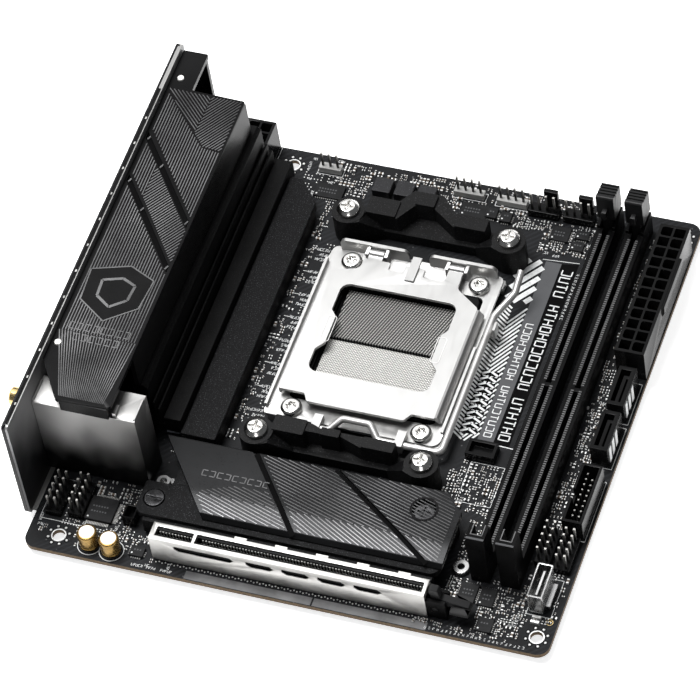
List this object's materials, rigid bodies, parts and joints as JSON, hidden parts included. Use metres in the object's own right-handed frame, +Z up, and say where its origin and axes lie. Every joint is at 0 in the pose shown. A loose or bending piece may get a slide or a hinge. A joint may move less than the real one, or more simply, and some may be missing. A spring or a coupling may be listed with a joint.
{
  "type": "desktop motherboard",
  "caption": "Compact square computer motherboard with a processor socket, memory and expansion slots, finned heatsinks, a grooved port cover and a rear port plate.",
  "frame": {"origin": "centre of the mounting hole in the rear corner beside the expansion slot, on the underside of the circuit board", "axes": "+X from the rear port side towards the front edge, +Y from the expansion-slot side towards the opposite edge, +Z up through the component side"},
  "size_m": [0.1826, 0.1717, 0.0461],
  "materials": {
    "solder_mask": "satin black solder mask",
    "black_steel": "black oxide",
    "socket_plastic": "moulded",
    "contact_metal": "plated contacts",
    "socket_steel": "bright satin",
    "screw_steel": "bright",
    "bracket_plastic": "grained",
    "slot_plastic": "moulded",
    "armour_steel": "satin",
    "latch_plastic": "moulded",
    "black_aluminium": "black anodised, fine grain",
    "cover_finish": "black anodised with fine grooves",
    "brass_stud": "bright",
    "chip_resin": "matt",
    "connector_plastic": "moulded",
    "pale_plastic": "moulded, grey and black",
    "pin_metal": "plated",
    "port_steel": "bright",
    "capacitor_metal": "pale gold sleeve",
    "choke_ferrite": "moulded powder",
    "thermal_pad": "soft",
    "bright_can": "bright plated",
    "gold_plate": "gold plated",
    "shield_steel": "bright inside",
    "trim_black": "matt black",
    "battery_wrap": "shrink sleeve"
  },
  "bodies": {
    "board": {"antenna_connectors": "gold_plate", "atx_power_socket": "connector_plastic", "audio_capacitors": "capacitor_metal", "audio_headers": "connector_plastic", "audio_jacks": "connector_plastic", "backplate": "black_steel", "board_chips": "chip_resin", "bracket_screws": "screw_steel", "chipset": "chip_resin", "circuit_board": "solder_mask", "cmos_battery": "battery_wrap", "cooler_bracket_far": "bracket_plastic", "cooler_bracket_near": "bracket_plastic", "cpu_power_socket": "connector_plastic", "dimm_slot_1": "slot_plastic", "dimm_slot_2": "slot_plastic", "fan_headers": "connector_plastic", "flashback_switch": "connector_plastic", "front_panel_headers": "connector_plastic", "header_pins": "pin_metal", "io_cover": "cover_finish", "io_shield": "shield_steel", "io_trim": "trim_black", "lan_usb_port": "port_steel", "lighting_headers": "pale_plastic", "m2_cover": "cover_finish", "m2_heatsink": "black_aluminium", "m2_screws": "screw_steel", "m2_socket": "slot_plastic", "m2_standoffs": "brass_stud", "pcie_armour": "armour_steel", "pcie_slot": "slot_plastic", "power_chokes": "choke_ferrite", "power_pins": "pin_metal", "sata_port_1": "connector_plastic", "sata_port_2": "connector_plastic", "small_sockets": "pale_plastic", "socket_base": "socket_plastic", "socket_contacts": "contact_metal", "socket_frame": "socket_steel", "socket_screws": "screw_steel", "thermal_pads": "thermal_pad", "usb3_header": "connector_plastic", "usb_c_header": "port_steel", "usb_c_port": "port_steel", "usb_port_stack": "port_steel", "video_ports": "port_steel", "vrm_chokes": "choke_ferrite", "vrm_heatsink": "black_aluminium", "vrm_slab": "black_aluminium", "vrm_transistors": "chip_resin", "wifi_housing": "bright_can", "wifi_module": "chip_resin"},
    "load_lever": {"load_lever": "socket_steel"},
    "load_plate": {"load_plate": "socket_steel"},
    "dimm_latch_1": {"dimm_latch_1": "latch_plastic"},
    "dimm_latch_2": {"dimm_latch_2": "latch_plastic"},
    "pcie_latch": {"pcie_latch": "latch_plastic"},
    "flashback_button": {"flashback_button": "latch_plastic"}
  },
  "joints": [
    {"name": "load_lever_hinge", "type": "hinge", "parent": "board", "child": "load_lever", "pos_m": [0.07744, 0.05503, 0.0062], "axis": [1, 0, 0], "range_deg": [0, 90]},
    {"name": "load_plate_hinge", "type": "hinge", "parent": "board", "child": "load_plate", "pos_m": [0.07744, 0.12343, 0.0082], "axis": [-1, 0, 0], "range_deg": [0, 100]},
    {"name": "dimm_latch_1_hinge", "type": "hinge", "parent": "board", "child": "dimm_latch_1", "pos_m": [0.13244, 0.15373, 0.005], "axis": [-1, 0, 0], "range_deg": [0, 25]},
    {"name": "dimm_latch_2_hinge", "type": "hinge", "parent": "board", "child": "dimm_latch_2", "pos_m": [0.14189, 0.15373, 0.005], "axis": [-1, 0, 0], "range_deg": [0, 25]},
    {"name": "pcie_latch_hinge", "type": "hinge", "parent": "board", "child": "pcie_latch", "pos_m": [0.12329, 0.00193, 0.0058], "axis": [0, 1, 0], "range_deg": [0, 20]},
    {"name": "flashback_button_slide", "type": "slide", "parent": "board", "child": "flashback_button", "axis": [1, 0, 0], "range_m": [0, 0.0008], "stiffness_N_per_m": 800}
  ]
}
